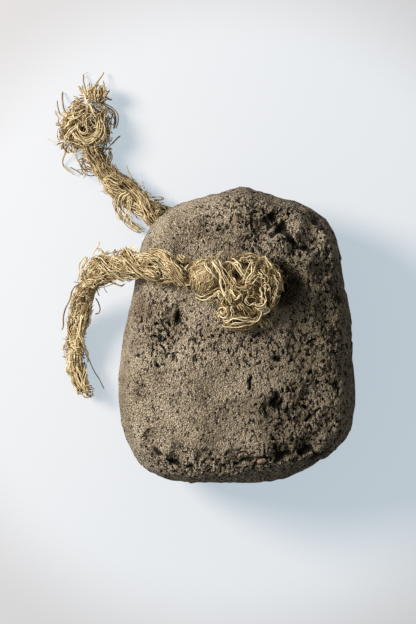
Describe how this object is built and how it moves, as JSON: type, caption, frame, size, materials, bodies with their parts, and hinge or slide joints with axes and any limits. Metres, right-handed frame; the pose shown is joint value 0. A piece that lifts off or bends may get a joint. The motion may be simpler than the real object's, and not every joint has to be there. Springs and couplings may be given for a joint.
{
  "type": "loom weight",
  "caption": "Hand-shaped mud loom weight with a through hole near its top and a frayed plant-fibre rope through the hole.",
  "frame": {"origin": "middle of the clay body's box in plan, on the surface that its back lies on", "axes": "+Z out of the front face, +Y towards the narrow top end with the hole, +X to the right seen from the front"},
  "size_m": [0.1271, 0.1684, 0.0694],
  "materials": {
    "clay": "dry unfired mud, rough, full of chaff voids",
    "stone": "dull grit",
    "rope": "dry straw-coloured plant fibre, two loose plies"
  },
  "bodies": {
    "root": {"clay_body": "clay", "stones": "stone", "rope_in_hole": "rope", "frayed_knot": "rope", "rope_front": "rope", "rope_back": "rope", "frayed_ball": "rope"}
  },
  "joints": []
}
